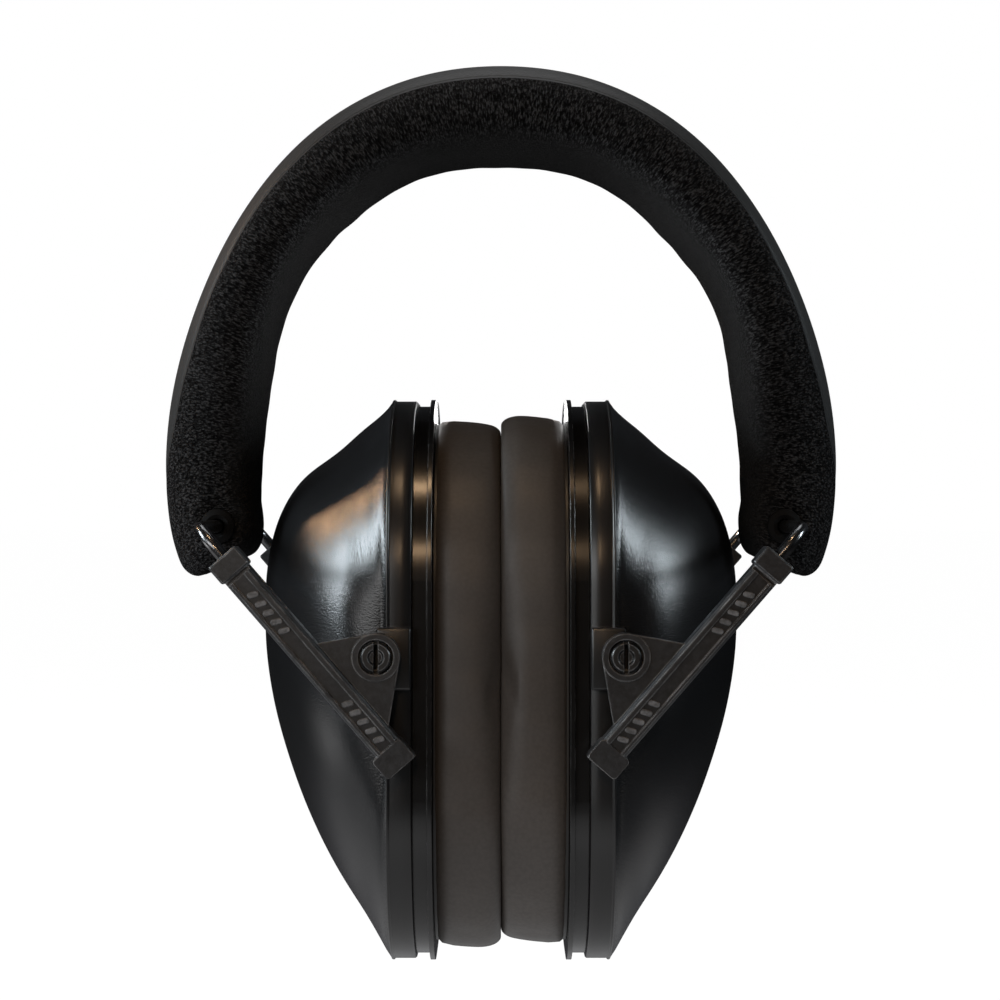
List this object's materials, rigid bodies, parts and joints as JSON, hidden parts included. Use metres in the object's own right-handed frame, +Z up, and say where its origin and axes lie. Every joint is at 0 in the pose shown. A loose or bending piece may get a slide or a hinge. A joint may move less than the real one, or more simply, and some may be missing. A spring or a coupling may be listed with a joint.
{
  "type": "earmuff hearing protector",
  "caption": "Passive earmuff with a padded spring headband, wire yokes with sliding arms, and tilting cups with soft ear cushions.",
  "frame": {"origin": "bottom centre of the bounding box: midway between the two closed cups, at their lowest edge", "axes": "+X towards the right-hand cup as seen from the front, +Y to the rear, +Z up to the crown of the headband"},
  "size_m": [0.1304, 0.0954, 0.1735],
  "materials": {
    "headband_cover": "black knit fabric with a smooth leatherette top strip",
    "foam_grey": "soft open-cell foam",
    "foam_dark": "acoustic foam",
    "spring_steel": "cold-rolled spring strip",
    "rivet_steel": "zinc-plated",
    "eyelet_metal": "blackened metal",
    "yoke_wire_steel": "bright drawn wire",
    "nylon_black": "moulded nylon",
    "glide_plastic": "acetal",
    "arm_plastic": "moulded, satin",
    "stud_plastic": "moulded, satin",
    "shell_plastic": "fine pebble texture, satin sheen",
    "baseplate_plastic": "smooth",
    "cushion_leather": "soft matte leatherette"
  },
  "bodies": {
    "headband": {"headband_cover_crown": "headband_cover", "headband_foam": "foam_grey", "band_spring": "spring_steel"},
    "left_side": {"headband_cover_left": "headband_cover", "left_hinge_knuckle": "nylon_black", "left_knuckle_rivets": "rivet_steel", "left_eyelets": "eyelet_metal"},
    "left_yoke": {"left_yoke_wire": "yoke_wire_steel", "left_wire_glides": "glide_plastic"},
    "left_arms": {"left_front_arm": "arm_plastic", "left_rear_arm": "arm_plastic"},
    "left_cup": {"left_shell": "shell_plastic", "left_baseplate": "baseplate_plastic", "left_pivot_studs": "stud_plastic", "left_cushion_ring": "nylon_black", "left_cushion_cover": "cushion_leather", "left_cushion_foam": "foam_grey", "left_foam_insert": "foam_dark"},
    "right_side": {"headband_cover_right": "headband_cover", "right_hinge_knuckle": "nylon_black", "right_knuckle_rivets": "rivet_steel", "right_eyelets": "eyelet_metal"},
    "right_yoke": {"right_yoke_wire": "yoke_wire_steel", "right_wire_glides": "glide_plastic"},
    "right_arms": {"right_front_arm": "arm_plastic", "right_rear_arm": "arm_plastic"},
    "right_cup": {"right_shell": "shell_plastic", "right_baseplate": "baseplate_plastic", "right_pivot_studs": "stud_plastic", "right_cushion_ring": "nylon_black", "right_cushion_cover": "cushion_leather", "right_cushion_foam": "foam_grey", "right_foam_insert": "foam_dark"}
  },
  "joints": [
    {"name": "left_band_flex", "type": "hinge", "parent": "headband", "child": "left_side", "pos_m": [-0.033, 0, 0.1635], "axis": [0, 1, 0], "range_deg": [0, 30], "deforming": ["headband_foam", "band_spring"]},
    {"name": "left_yoke_swing", "type": "hinge", "parent": "left_side", "child": "left_yoke", "pos_m": [-0.0539, 0, 0.0836], "axis": [0, 1, 0], "range_deg": [0, 42]},
    {"name": "left_arm_slide", "type": "slide", "parent": "left_yoke", "child": "left_arms", "axis": [0.6559, 0, -0.7549], "range_m": [0, 0.025]},
    {"name": "left_cup_tilt", "type": "hinge", "parent": "left_arms", "child": "left_cup", "pos_m": [-0.0222, 0, 0.0607], "axis": [0, 1, 0], "range_deg": [-42, 0]},
    {"name": "right_band_flex", "type": "hinge", "parent": "headband", "child": "right_side", "pos_m": [0.033, 0, 0.1635], "axis": [0, -1, 0], "range_deg": [0, 30]},
    {"name": "right_yoke_swing", "type": "hinge", "parent": "right_side", "child": "right_yoke", "pos_m": [0.0539, 0, 0.0836], "axis": [0, -1, 0], "range_deg": [0, 42]},
    {"name": "right_arm_slide", "type": "slide", "parent": "right_yoke", "child": "right_arms", "axis": [-0.6559, 0, -0.7549], "range_m": [0, 0.025]},
    {"name": "right_cup_tilt", "type": "hinge", "parent": "right_arms", "child": "right_cup", "pos_m": [0.0222, 0, 0.0607], "axis": [0, -1, 0], "range_deg": [-42, 0]}
  ],
  "couplings": [
    {"joint": "left_yoke_swing", "follows": "left_arm_slide", "rad_per_m": 29.307},
    {"joint": "left_cup_tilt", "follows": "left_arm_slide", "rad_per_m": -29.307},
    {"joint": "right_yoke_swing", "follows": "right_arm_slide", "rad_per_m": 29.307},
    {"joint": "right_cup_tilt", "follows": "right_arm_slide", "rad_per_m": -29.307},
    {"joint": "right_band_flex", "follows": "left_band_flex", "ratio": 1}
  ]
}
